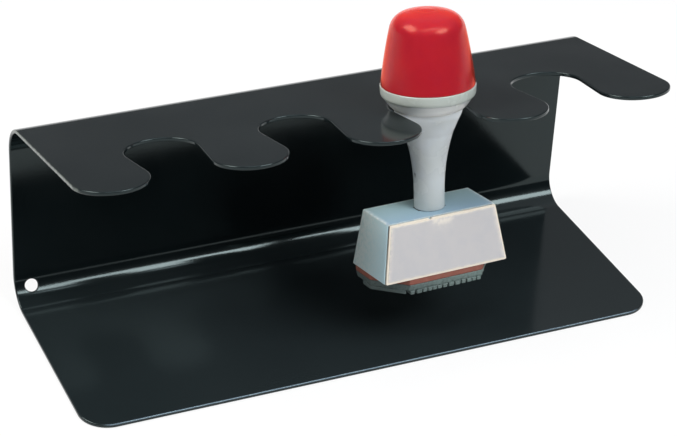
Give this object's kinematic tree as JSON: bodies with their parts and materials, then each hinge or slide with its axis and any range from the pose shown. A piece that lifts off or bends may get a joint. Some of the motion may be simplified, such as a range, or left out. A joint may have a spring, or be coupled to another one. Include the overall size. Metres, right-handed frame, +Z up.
{
  "type": "stamp rack",
  "caption": "Desk rack bent from one sheet, with slots in a sloping shelf where hand stamps hang by their necks; a stamp with a domed grip lifts forward out of its slot.",
  "frame": {"origin": "centre of the base's underside, below the middle of the rack's length and depth", "axes": "+X along the rack, +Y from the open front to the wall, +Z up"},
  "size_m": [0.225, 0.088, 0.1249],
  "materials": {
    "rack_sheet": "gloss black enamel",
    "stem": "pale grey moulded",
    "knob_cap": "red moulded",
    "mount_block": "satin grey moulded",
    "label_plate": "cream moulded",
    "label_paper": "blank paper",
    "cushion": "soft cushion rubber",
    "printing_die": "printing rubber"
  },
  "bodies": {
    "rack": {"rack_sheet": "rack_sheet"},
    "stamp": {"stem": "stem", "knob_cap": "knob_cap", "mount_block": "mount_block", "label_plate": "label_plate", "label_paper": "label_paper", "cushion": "cushion", "printing_die": "printing_die"}
  },
  "joints": [
    {"name": "stamp_draw", "type": "slide", "parent": "rack", "child": "stamp", "axis": [0, -0.866, 0.5], "range_m": [0, 0.07]}
  ]
}
